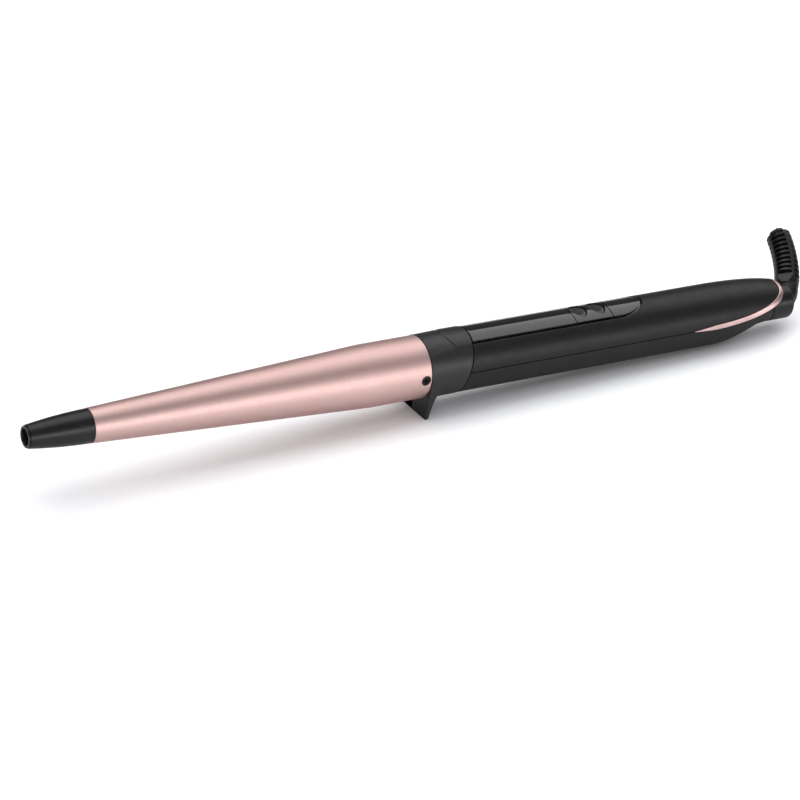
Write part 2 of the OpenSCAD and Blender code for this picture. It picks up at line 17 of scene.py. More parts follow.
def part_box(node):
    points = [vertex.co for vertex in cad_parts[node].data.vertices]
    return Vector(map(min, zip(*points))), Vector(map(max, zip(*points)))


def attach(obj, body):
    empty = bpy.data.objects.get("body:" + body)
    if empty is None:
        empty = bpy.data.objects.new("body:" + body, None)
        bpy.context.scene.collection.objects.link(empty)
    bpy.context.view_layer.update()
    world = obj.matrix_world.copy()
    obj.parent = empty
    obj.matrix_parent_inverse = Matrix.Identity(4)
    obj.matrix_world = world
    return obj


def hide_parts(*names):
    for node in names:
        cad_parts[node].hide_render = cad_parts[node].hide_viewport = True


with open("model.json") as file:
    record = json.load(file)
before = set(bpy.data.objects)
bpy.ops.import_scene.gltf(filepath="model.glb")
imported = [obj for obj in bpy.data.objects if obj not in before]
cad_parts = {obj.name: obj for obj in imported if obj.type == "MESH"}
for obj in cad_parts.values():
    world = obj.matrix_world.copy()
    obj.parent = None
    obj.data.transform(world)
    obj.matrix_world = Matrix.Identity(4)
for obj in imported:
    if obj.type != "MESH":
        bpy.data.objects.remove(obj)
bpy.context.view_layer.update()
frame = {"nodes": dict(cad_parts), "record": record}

MM = 0.001
DEG = pi / 180
CROWN = pi / 2

# Vertices closer than this many millimetres are one; edges bent by more than this stay sharp.
MERGE = 1e-4
SHARP = 38 * DEG


def span(node):
    """Lowest and highest corner of a CAD node in millimetres."""
    low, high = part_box(node)
    return np.array(low) / MM, np.array(high) / MM


# ---- Sizes read from the frame ----

barrel_low, barrel_high = span("barrel")
tip_low, _ = span("cool_tip")
collar_low, collar_high = span("collar")
_, upper_high = span("upper_shell")
lower_low, lower_high = span("lower_shell")
_, fascia_high = span("fascia")
panel_low, panel_high = span("button_panel")
hub_low, _ = span("swivel_hub")

BARREL_R = barrel_high[2]
BARREL_FRONT, BARREL_REAR = barrel_low[0], barrel_high[0]
TIP_MOUTH = tip_low[0]
COLLAR_R = collar_high[1]
SOLE_Z = -collar_low[2]
GRIP_R = upper_high[2]
BELLY_R = -lower_low[2]
NECK_END = lower_high[0]
HUB_R = -hub_low[2]
FASCIA_HALF_W, FASCIA_END = fascia_high[1], fascia_high[0]
PANEL_START, PANEL_END, PANEL_HALF_W = panel_low[0], panel_high[0], panel_high[1]

# ---- Sizes of the visible shapes; a name in R is a radius, one in TURN an angle in degrees ----

# Gap between two mouldings, gap at the collar's rear, half of the seam along the sides.
SEAM, JOINT_LINE, SIDE_LINE = 0.15, 0.35, 0.13

# Barrel: the parallel part before the collar, the thin end, and the screw on each side.
BARREL_PARALLEL, BARREL_TIP_R, BARREL_WALL = 24.0, 6.7, 1.2
SCREW_X, SCREW_HOLE_R = -2.6, 2.05

# Collar: a slope is the shift along the wand for each millimetre of height.
COLLAR_SLOPE = 0.265
COLLAR_REAR = collar_high[0] - COLLAR_SLOPE * COLLAR_R
CREASE_X, CREASE_SLOPE = 2.8, 0.28
SOCKET_R, SOCKET_X = 11.95, 10.0
THUMB_PAD_RISE = 0.10
FOOT_HALF_W, SOLE_LEN = 10.0, 1.3

# Handle: where its sides, its top and its belly close towards the rear neck.
SHELL_WALL = 2.0
CLOSE_START = 138.0
TOP_CLOSE_LEN, TOP_CLOSE_DEPTH = 38.5, 5.2
NECK_START, NECK_R = 160.0, 7.2
RIM_ROUND = 0.16

# Trim band, in side view: its tip, how far it reaches and rises, its half width, the degrees over which
# its point grows to that width, and the share by which it narrows again at the top.
TRIM_START, TRIM_REACH, TRIM_RISE, TRIM_DROP = 123.0, 49.0, 10.0, 0.2
TRIM_HALF, TRIM_BLEND, TRIM_NARROW = 1.05, 14.0, 0.25

# Fascia and buttons.
FASCIA_NOSE, RIM_W = 14.2, 0.6
BUTTON_SINK, BUTTON_DISH, BUTTON_GAP, BUTTON_LIP = 0.5, 0.5, 0.32, 0.6
BUTTON_FLOOR = 2.6

# Cord outlet: hub, elbow with a short straight neck, and the strain relief with its plain base. Its
# slots stand in four columns 90 degrees apart; SLOT_HALF, SLOT_MIDDLE and SLOT_FADE are degrees.
HUB_FRONT, HUB_REAR, SPIGOT_R = 150.6, 178.8, 4.0
ELBOW_X, ELBOW_BEND, ELBOW_TURN, ELBOW_R = 175.5, 7.0, 64.0, 4.75
ELBOW_LEN = ELBOW_BEND * ELBOW_TURN * DEG
OUTLET_NECK, OUTLET_TURN = 1.3, 52.0
BOOT_BASE_R, BOOT_BASE_LEN, BOOT_R, BOOT_BORE_R = 4.9, 5.2, 5.3, 3.08
BOOT_BEND, BOOT_TURN, BOOT_DOME = 50.0, 26.0, 2.2
SLOT_LEVELS, SLOT_PITCH, SLOT_FIRST = 10, 2.2, 0.55
SLOT_T, SLOT_DEPTH, SLOT_EDGE = 1.1, 1.5, 0.06
SLOT_HALF, SLOT_MIDDLE, SLOT_FADE = 36.0, 41.0, 2.5


# ---- Mesh helpers ----

def stitch(bm, rings, close=False):
    """Quads between neighbouring rings of vertices; close joins the last ring to the first."""
    pairs = list(zip(rings, rings[1:])) + ([(rings[-1], rings[0])] if close else [])
    for first, second in pairs:
        count = len(first)
        for i in range(count):
            j = (i + 1) % count
            bm.faces.new((first[i], first[j], second[j], second[i]))


def stitch_solid(bm, rings):
    """Stitches the rings into a tube and closes it with a face at each end."""
    stitch(bm, rings)
    bm.faces.new(rings[0])
    bm.faces.new(rings[-1])


def put(name, data):
    """A new object in the scene for a mesh, a light or a camera."""
    made = bpy.data.objects.new(name, data)
    bpy.context.scene.collection.objects.link(made)
    return made


def polar(x, r, angle):
    """The point at a radius and an angle in radians round the wand's axis."""
    return x, -r * cos(angle), r * sin(angle)


def apart(a, b, period=360):
    """How far two angles in degrees are apart, both ways round."""
    return abs((a - b + period / 2) % period - period / 2)


def full_turn(count):
    """Evenly spread angles in radians, from 0."""
    return np.arange(count) * 2 * pi / count


def finish_piece(name, bm, slot, node, body="wand", weld=True):
    """Makes a shaded piece in metres of a millimetre mesh, puts it on its body and hides its CAD node."""
    if weld:
        bmesh.ops.remove_doubles(bm, verts=bm.verts, dist=MERGE)
        bmesh.ops.dissolve_degenerate(bm, edges=bm.edges, dist=MERGE)
        bmesh.ops.recalc_face_normals(bm, faces=bm.faces)
    bmesh.ops.scale(bm, vec=(MM, MM, MM), verts=bm.verts)
    for edge in bm.edges:
        edge.smooth = len(edge.link_faces) == 2 and edge.calc_face_angle(0) < SHARP
    for face in bm.faces:
        face.smooth = True
    mesh = bpy.data.meshes.new(name)
    bm.to_mesh(mesh)
    bm.free()
    piece = put(name, mesh)
    weighted = piece.modifiers.new("weighted", "WEIGHTED_NORMAL")
    weighted.keep_sharp = True
    piece.data.materials.append(FINISHES[slot])
    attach(piece, body)
    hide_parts(node)


def fillet(points, radii, steps=5):
    """Rounds the corners of a closed loop; a corner with radius 0 stays as it is."""
    loop = []
    points = [np.array(p, float) for p in points]
    for i, (corner, radius) in enumerate(zip(points, radii)):
        if radius == 0:
            loop.append(corner)
            continue
        back, ahead = points[i - 1] - corner, points[(i + 1) % len(points)] - corner
        room_back, room_ahead = norm(back), norm(ahead)
        reach = min(radius, 0.45 * room_back, 0.45 * room_ahead)
        start, end = corner + back / room_back * reach, corner + ahead / room_ahead * reach
        for t in np.linspace(0, 1, steps + 1):
            loop.append((1 - t) ** 2 * start + 2 * t * (1 - t) * corner + t * t * end)
    return loop


def revolve(bm, section, angles):
    """Rings round the X axis; section(angle) gives a closed loop of (x, radius) points."""
    rings = [[bm.verts.new(polar(x, r, angle * DEG)) for x, r in section(angle)] for angle in angles]
    stitch(bm, rings, close=True)


def turn_list(count):
    """Evenly spread angles in degrees, from the belly."""
    return np.arange(count) * 360.0 / count - 90


def smooth_step(t):
    """Eases from 0 to 1 while t goes from 0 to 1."""
    t = np.clip(t, 0, 1)
    return t * t * (3 - 2 * t)


# ---- Plates wrapped on the handle ----
# A plate is drawn unrolled: x along the axis and s = angle in radians times the grip radius.

def inside(points, loops):
    """True for the points that lie between the outline and the holes."""
    result = np.zeros(len(points), bool)
    for loop in loops:
        start, end = loop, np.roll(loop, -1, axis=0)
        for a, b in zip(start, end):
            crosses = (a[1] > points[:, 1]) != (b[1] > points[:, 1])
            if a[1] != b[1]:
                reach = (b[0] - a[0]) * (points[:, 1] - a[1]) / (b[1] - a[1]) + a[0]
                result ^= crosses & (points[:, 0] < reach)
    return result


def clearance(points, loops):
    """Distance of each point to the nearest loop corner; the loops are finely sampled."""
    corners = np.concatenate(loops)
    best = np.full(len(points), np.inf)
    for block in np.array_split(corners, max(1, len(corners) // 200)):
        gap = norm(points[:, None] - block[None], axis=2).min(1)
        best = np.minimum(best, gap)
    return best


def resample(corners, spacing=0.5):
    """Points along a closed outline, no further apart than spacing; corners are kept."""
    out, corners = [], np.array(corners)
    for a, b in zip(corners, np.roll(corners, -1, axis=0)):
        count = max(1, ceil(norm(b - a) / spacing))
        out.extend(a + (b - a) * i / count for i in range(count))
    return np.array(out)


def area_sign(loop):
    """1 for a counter-clockwise loop, -1 for a clockwise one."""
    x, y = loop[:, 0], loop[:, 1]
    return np.sign(np.sum(x * np.roll(y, -1) - np.roll(x, -1) * y))


def inset_loop(loop, distance):
    """The loop moved to its left by distance, with mitred corners."""
    ahead = np.roll(loop, -1, axis=0) - loop
    ahead /= norm(ahead, axis=1)[:, None]
    left = np.stack([-ahead[:, 1], ahead[:, 0]], axis=1)
    before = np.roll(left, 1, axis=0)
    share = 1 + np.sum(left * before, axis=1)
    return loop + distance * (left + before) / np.maximum(share, 0.5)[:, None]


def fill(bm, loops, loop_verts, lattice, lift):
    """Triangles between the loops and the lattice points."""
    points = np.concatenate(loops + [lattice])
    edges, start = [], 0
    for loop in loops:
        count = len(loop)
        edges += [(start + i, start + (i + 1) % count) for i in range(count)]
        start += count
    keep_all, epsilon = 0, 1e-6
    verts, _, faces, origins, _, _ = delaunay_2d_cdt(
        [Vector(p) for p in points], edges, [], keep_all, epsilon)
    flat = [v for ring in loop_verts for v in ring]
    placed = []
    for vert, origin in zip(verts, origins):
        known = [o for o in origin if o < len(flat)]
        placed.append(flat[known[0]] if known else bm.verts.new(lift(vert[0], vert[1])))
    where = np.array([(v[0], v[1]) for v in verts])
    centres = where[np.array(faces)].mean(1)
    for face, keep in zip(faces, inside(centres, loops)):
        corners = [placed[i] for i in face]
        if keep and len(set(corners)) == 3:
            bm.faces.new(corners)


def wrapped_plate(bm, loops, radius, top=0.0, under=SHELL_WALL, edge=RIM_ROUND, step=(1.0, 0.6)):
    """A closed plate on the handle, between the depths top and under.

    loops are its outline and holes, edge is its rounded rim and step is the mesh spacing.
    """
    loops = [np.array(loop, float) for loop in loops]
    loops = [loop if area_sign(loop) == (1 if i == 0 else -1) else loop[::-1]
             for i, loop in enumerate(loops)]

    def lift(x, s, depth):
        return polar(x, radius(x, s / GRIP_R) - depth, s / GRIP_R)

    rounds = [(edge * (1 - cos(t)), top + edge * (1 - sin(t))) for t in np.linspace(0, pi / 2, 5)]
    levels = [(0.0, under)] + rounds
    rings = [[inset_loop(loop, inset) for loop in loops] for inset, _ in levels]
    verts = [[[bm.verts.new(lift(x, s, depth)) for x, s in loop] for loop in ring]
             for ring, (_, depth) in zip(rings, levels)]
    for lower_ring, upper_ring in zip(verts, verts[1:]):
        for below, above in zip(lower_ring, upper_ring):
            stitch(bm, [below, above])
    low, high = loops[0].min(0), loops[0].max(0)
    columns = np.arange(ceil(low[0] / step[0]), high[0] / step[0]) * step[0]
    rows = np.arange(ceil(low[1] / step[1]), high[1] / step[1]) * step[1]
    lattice = np.stack(np.meshgrid(columns, rows), axis=2).reshape(-1, 2)
    lattice = lattice[inside(lattice, rings[-1])]
    free_rim = 0.55 * min(step)
    lattice = lattice[clearance(lattice, rings[-1]) > free_rim]
    fill(bm, rings[-1], verts[-1], lattice, lambda x, s: lift(x, s, top))
    fill(bm, rings[0], verts[0], lattice[::3], lambda x, s: lift(x, s, under))


def top_radius(x, angle=0.0):
    """Radius of the handle's top, which closes at the rear like a quarter ellipse."""
    t = min(max((x - CLOSE_START) / TOP_CLOSE_LEN, 0.0), 0.999)
    return GRIP_R - TOP_CLOSE_DEPTH * (1 - sqrt(1 - t * t))


def lower_radius(x, angle):
    """Radius of the lower shell: a narrower ellipse towards the neck."""
    flank, belly = GRIP_R, BELLY_R
    if x > CLOSE_START:
        t = min((x - CLOSE_START) / (NECK_END - CLOSE_START), 1.0)
        flank = NECK_R + (GRIP_R - NECK_R) * cos(pi / 2 * t)
        v = min((x - CLOSE_START) / (NECK_START - CLOSE_START), 1.0)
        belly = NECK_R + (BELLY_R - NECK_R) * cos(pi / 2 * v)
    if sin(angle) >= 0:
        return flank
    return 1 / hypot(cos(angle) / flank, sin(angle) / belly)


def unrolled(x, z, radius, far_side=False):
    """Unrolled place of a side-view point on the near (-Y) or the far side."""
    angle = asin(max(-1.0, min(1.0, z / radius(x, 0.0))))
    return np.array((x, (pi - angle if far_side else angle) * GRIP_R))


def trim_edge(a, side, spread):
    """Side-view point of the trim's edge; a runs from 0 at its tip to 90 at the top."""
    mid = np.array((TRIM_START + TRIM_REACH * sin(a * DEG),
                    TRIM_RISE * (1 - cos(a * DEG)) - TRIM_DROP * sin(a * DEG)))
    ahead = np.array((TRIM_REACH * cos(a * DEG), TRIM_RISE * sin(a * DEG)))
    half = TRIM_HALF * min(1.0, a / TRIM_BLEND) * (1 - TRIM_NARROW * (a / 90) ** 8)
    return mid + side * (half + spread) * np.array((-ahead[1], ahead[0])) / norm(ahead)


def collar_line(angle, spread):
    """The slanted joint between the collar and the shells, at an angle in radians."""
    return COLLAR_REAR + JOINT_LINE + spread + COLLAR_SLOPE * GRIP_R * sin(angle)


def collar_edge(start, end, count):
    """A shell's front edge, unrolled."""
    return [(collar_line(a, SEAM), a * GRIP_R) for a in np.linspace(start, end, count)]


def over_top(y):
    """Unrolled place of a point of the top that is y to the far side."""
    return (CROWN + asin(y / GRIP_R)) * GRIP_R


def fascia_nose(grow):
    """The half-oval end of the fascia, from the near side to the far side."""
    length, half_w = FASCIA_NOSE + grow, FASCIA_HALF_W + grow
    return [(FASCIA_END - FASCIA_NOSE + length * cos(a * DEG), over_top(half_w * sin(a * DEG)))
            for a in np.linspace(-90, 90, 61)]


def fascia_outline(grow, front_gap, start=None, end=None):
    """Outline of the fascia; start or end in its place cuts it off square there."""
    half_w = FASCIA_HALF_W + grow
    points = fascia_nose(grow) if end is None else [(end, over_top(-half_w)), (end, over_top(half_w))]
    side = asin(half_w / GRIP_R)
    for angle in np.linspace(CROWN + side, CROWN - side, 25):
        x = collar_line(angle, front_gap) if start is None else start
        points.append((x, angle * GRIP_R))
    return resample(points)


def oval_outline(x0, length, width, count=72):
    """A button's oval on the top line."""
    return [(x0 + length / 2 * cos(t), over_top(width / 2 * sin(t))) for t in full_turn(count)]


# ---- Materials ----
# Colours are linear; noise scales are cycles per metre.

class Finish:
    """A node material with one principled shader; coordinates are metres on the object."""

    def __init__(self, name, **shader):
        self.material = bpy.data.materials.new(name)
        self.material.use_nodes = True
        self.tree = self.material.node_tree
        self.shader = self.tree.nodes["Principled BSDF"]
        for key, value in shader.items():
            self.shader.inputs[key.replace("_", " ")].default_value = value
        self.place = self.tree.nodes.new("ShaderNodeTexCoord").outputs["Object"]

    def node(self, kind, inputs=None, **settings):
        """A new node with its settings; an input is a value or another node's socket."""
        made = self.tree.nodes.new(kind)
        for key, value in settings.items():
            setattr(made, key, value)
        for key, value in (inputs or {}).items():
            if isinstance(value, bpy.types.NodeSocket):
                self.tree.links.new(value, made.inputs[key])
            else:
                made.inputs[key].default_value = value
        return made

    def maths(self, operation, *values):
        return self.node("ShaderNodeMath", dict(enumerate(values)), operation=operation).outputs[0]

    def noise(self, scale, detail=3.0, rough=0.5, stretch=(1, 1, 1)):
        place = self.node("ShaderNodeMapping", {"Vector": self.place, "Scale": stretch}).outputs[0]
        made = self.node("ShaderNodeTexNoise", {"Vector": place, "Scale": scale, "Detail": detail,
                                                "Roughness": rough})
        return made.outputs["Fac"]

    def ranged(self, value, low, high, start=0.3, end=0.7):
        """Maps a value that runs from start to end onto low to high."""
        made = self.node("ShaderNodeMapRange", {"Value": value, "From Min": start, "From Max": end,
                                                "To Min": low, "To Max": high})
        return made.outputs[0]

    def colours(self, value, low, high, start=0.3, end=0.7):
        """The same for two colours."""
        ramp = self.node("ShaderNodeValToRGB", {"Fac": value})
        for stop, position, colour in zip(ramp.color_ramp.elements, (start, end), (low, high)):
            stop.position, stop.color = position, (*colour, 1)
        return ramp.outputs["Color"]

    def shades(self, value, colour, dark, light, start=0.3, end=0.7):
        """A darker and a lighter version of one colour."""
        return self.colours(value, *[tuple(c * share for c in colour) for share in (dark, light)], start, end)

    def surface(self, tint, rough, height, depth_mm):
        """Sets colour, roughness (None leaves it) and relief, and returns the material."""
        relief = self.node("ShaderNodeBump", {"Height": height, "Distance": depth_mm * MM, "Strength": 1.0})
        for socket, value in (("Base Color", tint), ("Roughness", rough), ("Normal", relief.outputs[0])):
            if value:
                self.tree.links.new(value, self.shader.inputs[socket])
        return self.material


def moulded(name, colour, rough, grain_mm, depth_mm, shine=0.5, spread=0.06, coat=0.0):
    """Moulded plastic: fine spark-eroded grain, cloudy colour and roughness."""
    finish = Finish(name, Coat_Weight=coat, Coat_Roughness=0.05, Specular_IOR_Level=shine)
    tint = finish.shades(finish.noise(90, 4), colour, 0.88, 1.12)
    cloudy = finish.ranged(finish.noise(400, 5), rough - spread, rough + spread)
    return finish.surface(tint, cloudy, finish.noise(1000 / grain_mm, 2), depth_mm)


def metal(name, colour, rough, stretch=(1, 1, 1), depth_mm=0.004):
    """Bare or plated metal with drawn or tumbled micro-scratches."""
    finish = Finish(name, Metallic=1.0)
    tint = finish.shades(finish.noise(150, 4), colour, 0.9, 1.05)
    brushed = finish.ranged(finish.noise(3000, 4, 0.6, stretch), rough - 0.07, rough + 0.1)
    return finish.surface(tint, brushed, finish.noise(6000, 3, 0.6, stretch), depth_mm)


def coated_metal(name, colour, rough):
    """Metallic barrel coating: tiny flakes that glint, under a satin surface."""
    finish = Finish(name, Metallic=1.0)
    cells = finish.node("ShaderNodeTexVoronoi",
                        {"Vector": finish.place, "Scale": 5200.0, "Randomness": 1.0})
    flake = finish.node("ShaderNodeSeparateColor", {"Color": cells.outputs["Color"]}).outputs
    tint = finish.shades(flake["Red"], colour, 0.93, 1.06, 0.0, 1.0)
    mottled = finish.maths("MULTIPLY_ADD", finish.noise(500, 5, 0.6), flake["Green"], 0.0)
    satin = finish.ranged(mottled, rough - 0.07, rough + 0.09, 0.0, 0.7)
    return finish.surface(tint, satin, finish.maths("ADD", flake["Blue"], finish.noise(1500, 3)), 0.0022)


def woven(name, colour):
    """Braided glass-fibre sleeve."""
    finish = Finish(name, Roughness=0.8)
    along, across = [finish.node("ShaderNodeTexWave",
                                 {"Vector": finish.place, "Scale": 700.0, "Distortion": 0.5},
                                 bands_direction=axis).outputs["Fac"] for axis in ("X", "Z")]
    weave = finish.maths("MULTIPLY", along, across)
    return finish.surface(finish.shades(weave, colour, 0.6, 1, 0.1, 0.7), None, weave, 0.08)


def circuit(name, colour):
    """Solder mask with tracks under it."""
    finish = Finish(name, Coat_Weight=0.3)
    tracks = finish.node("ShaderNodeTexBrick", {"Vector": finish.place, "Scale": 260.0, "Mortar Size": 0.03,
                                                "Color1": (0, 0, 0, 1), "Color2": (0.2, 0.2, 0.2, 1),
                                                "Mortar": (1, 1, 1, 1)})
    level = finish.node("ShaderNodeRGBToBW", {"Color": tracks.outputs["Color"]}).outputs[0]
    tint = finish.shades(level, colour, 1, 2.2, 0.1, 0.9)
    return finish.surface(tint, finish.ranged(finish.noise(800), 0.3, 0.45), level, 0.03)


def layered(name, colour, rough):
    """Mica or ceramic: flaky or sintered mineral."""
    finish = Finish(name, Subsurface_Weight=0.05)
    flakes = finish.noise(700, 6, 0.65, (1, 1, 6))
    tint = finish.shades(flakes, colour, 0.75, 1.1)
    return finish.surface(tint, finish.ranged(finish.noise(2500), rough - 0.1, rough + 0.1), flakes, 0.02)


RECIPES = {
    "barrel_pink": (coated_metal, (0.78, 0.54, 0.51), 0.53),
    "matte_black": (moulded, (0.007, 0.007, 0.0075), 0.42, 0.10, 0.010, 0.3),
    "collar_black": (moulded, (0.010, 0.010, 0.011), 0.42, 0.14, 0.010),
    "tip_black": (moulded, (0.006, 0.006, 0.007), 0.34, 0.12, 0.006, 0.4),
    "gloss_black": (moulded, (0.006, 0.006, 0.007), 0.10, 0.60, 0.0008, 0.5, 0.03, 0.5),
    "trim_rose": (metal, (0.84, 0.58, 0.56), 0.38),
    "button_black": (moulded, (0.018, 0.018, 0.020), 0.30, 0.20, 0.006),
    "boot_rubber": (moulded, (0.006, 0.006, 0.007), 0.30, 0.10, 0.010, 0.45),
    "cord_rubber": (moulded, (0.012, 0.012, 0.012), 0.55, 0.15, 0.012),
    "hub_black": (moulded, (0.007, 0.007, 0.008), 0.31, 0.15, 0.006, 0.35),
    "steel": (metal, (0.56, 0.56, 0.57), 0.28, (8, 1, 1)),
    "black_screw": (metal, (0.045, 0.04, 0.042), 0.25),
    "spring_steel": (metal, (0.45, 0.46, 0.50), 0.22, (12, 1, 1)),
    "spreader_alu": (metal, (0.72, 0.73, 0.74), 0.38, (10, 1, 1), 0.01),
    "ceramic": (layered, (0.82, 0.79, 0.74), 0.35),
    "mica": (layered, (0.55, 0.45, 0.26), 0.45),
    "phenolic": (moulded, (0.055, 0.040, 0.030), 0.45, 0.20, 0.015),
    "sleeve_fabric": (woven, (0.70, 0.66, 0.55)),
    "lead_white": (moulded, (0.75, 0.73, 0.68), 0.50, 0.20, 0.008),
    "lead_brown": (moulded, (0.16, 0.075, 0.035), 0.45, 0.20, 0.008),
    "copper": (metal, (0.80, 0.40, 0.24), 0.25, (12, 1, 1)),
    "brass": (metal, (0.78, 0.57, 0.27), 0.22, (6, 1, 1)),
    "pcb_green": (circuit, (0.012, 0.11, 0.05)),
    "part_black": (moulded, (0.02, 0.02, 0.02), 0.50, 0.25, 0.012),
    "part_yellow": (moulded, (0.60, 0.42, 0.07), 0.40, 0.30, 0.006),
    "part_blue": (moulded, (0.03, 0.08, 0.20), 0.30, 0.30, 0.004),
    "part_green": (moulded, (0.10, 0.28, 0.14), 0.45, 0.30, 0.008),
    "sensor_glass": (moulded, (0.28, 0.06, 0.03), 0.15, 0.50, 0.002, 0.5, 0.04, 0.6),
    "plunger_red": (moulded, (0.45, 0.05, 0.03), 0.40, 0.20, 0.006),
    "nylon_white": (moulded, (0.72, 0.70, 0.64), 0.42, 0.20, 0.008),
}
FINISHES = {name: recipe(name, *values) for name, (recipe, *values) in RECIPES.items()}


def dress_cad_nodes():
    """Gives every CAD node that stays visible the finish of its material slot."""
    for part in frame["record"]["subparts"]:
        node = frame["nodes"][part["node"]]
        node.data.materials.clear()
        node.data.materials.append(FINISHES[part["material_slot"]])


# ---- Barrel ----

def barrel_radius(x):
    """Outer radius of the barrel: parallel before the collar, conical beyond."""
    if x > -BARREL_PARALLEL:
        return BARREL_R
    share = (x - BARREL_FRONT) / (-BARREL_PARALLEL - BARREL_FRONT)
    return BARREL_TIP_R + (BARREL_R - BARREL_TIP_R) * share


def holed_skin(bm, stations, radius, hole_r, columns=288):
    """A skin of revolution with a round hole on each side; returns the end rings and hole rings.

    A square patch of faces is taken out at each hole and filled by rings that turn round.
    """
    rows = [[bm.verts.new(polar(x, radius(x), t)) for t in full_turn(columns)] for x in stations]
    stitch(bm, rows)
    patch = 2.2
    own = {v for row in rows for v in row}
    r = radius(SCREW_X)
    rims = []
    for middle in (0.0, pi):
        def flat(v):
            """Place of a vertex on the unrolled skin, from the hole's middle."""
            turn = atan2(v.co.z, -v.co.y) - middle
            turn = (turn + pi) % (2 * pi) - pi
            return np.array((v.co.x - SCREW_X, turn * r))

        def near_hole(face):
            centre = sum(flat(v) for v in face.verts) / len(face.verts)
            return face.verts[0] in own and np.abs(centre).max() < patch

        block = [face for face in bm.faces if near_hole(face)]
        rim = {v for face in block for v in face.verts}
        bmesh.ops.delete(bm, geom=block, context="FACES")
        border = [v for v in bm.verts if v in rim]
        border.sort(key=lambda v: atan2(*flat(v)[::-1]))
        rings = [border]
        for share in (0.35, 0.7, 1.0):
            ring = []
            for v in border:
                start = flat(v)
                place = start + share * (start / norm(start) * hole_r - start)
                ring.append(bm.verts.new(polar(SCREW_X + place[0], r, middle + place[1] / r)))
            rings.append(ring)
        stitch(bm, rings)
        rims.append(rings[-1])
    return rows[0], rows[-1], rims


def build_barrel():
    """The conical tube, with softly broken ends and two recessed screw holes."""
    bm = bmesh.new()
    edge, hole_zone = 0.12, -6.0
    cone = np.linspace(BARREL_FRONT + edge, -BARREL_PARALLEL - 0.5, 70)
    straight = np.linspace(-BARREL_PARALLEL, hole_zone, 26)
    near_hole = np.append(np.linspace(hole_zone + 0.3, BARREL_REAR - edge - 0.09, 27), BARREL_REAR - edge)
    stations = np.concatenate([cone, straight, near_hole])
    outer = holed_skin(bm, stations, barrel_radius, SCREW_HOLE_R + edge)
    inner = holed_skin(bm, stations, lambda x: barrel_radius(x) - BARREL_WALL, SCREW_HOLE_R)

    def ring_at(source, dx, dr):
        """A copy of a ring, shifted along the axis and in radius."""
        made = []
        for v in source:
            r = hypot(v.co.y, v.co.z)
            made.append(bm.verts.new((v.co.x + dx, v.co.y * (r + dr) / r, v.co.z * (r + dr) / r)))
        return made

    for end, sign in ((0, -1), (1, 1)):
        rounds = [ring_at(outer[end], sign * edge * sin(t), -edge * (1 - cos(t)))
                  for t in np.linspace(0, pi / 2, 4)[1:]]
        flat_ring = ring_at(inner[end], sign * edge, 0)
        stitch(bm, [outer[end], *rounds, flat_ring, inner[end]])
    for rim_out, rim_in in zip(outer[2], inner[2]):
        rounds = []
        for t in np.linspace(0, pi / 2, 5)[1:]:
            ring = []
            for v in rim_out:
                off = np.array((v.co.x - SCREW_X, v.co.z))
                length = norm(off)
                off = off / length * (length - edge * sin(t))
                y = v.co.y - copysign(edge * (1 - cos(t)), v.co.y)
                ring.append(bm.verts.new((SCREW_X + off[0], y, off[1])))
            rounds.append(ring)
        stitch(bm, [rim_out, *rounds, rim_in])
    finish_piece("barrel_skin", bm, "barrel_pink", "barrel")


def build_barrel_screws():
    """Domed heads with a cross recess, sunk in the barrel's holes."""
    bm = bmesh.new()
    head_r, head_t, dome, shank = 1.8, 0.55, 0.30, 2.2
    arm_w, arm_len, recess = 0.26, 1.15, 0.6
    seat = BARREL_R - BARREL_WALL + 0.05
    profile = [(rho, seat + head_t + dome * (1 - rho * rho)) for rho in np.linspace(0.02, 0.93, 30)]
    profile += [(0.98, seat + head_t - 0.03), (1.0, seat + head_t - 0.1), (1.0, seat)]
    profile += [(0.5, seat), (0.5, seat - shank), (0.02, seat - shank)]
    for side in (-1, 1):
        rows = []
        for rho, height in profile:
            row = []
            for t in full_turn(96):
                x, z = head_r * rho * cos(t), head_r * rho * sin(t)
                drop = 0.0
                if height > seat + head_t - 0.05:
                    for a, b in ((x, z), (z, x)):
                        arm = smooth_step((arm_w + 0.05 - abs(a)) / 0.08)
                        arm *= smooth_step((arm_len - abs(b)) / 0.15)
                        drop = max(drop, recess * float(arm))
                row.append(bm.verts.new((SCREW_X + x, side * (height - drop), z)))
            rows.append(row)
        stitch_solid(bm, rows)
    finish_piece("barrel_screw_heads", bm, "black_screw", "barrel_screws")


# ---- Cool tip ----

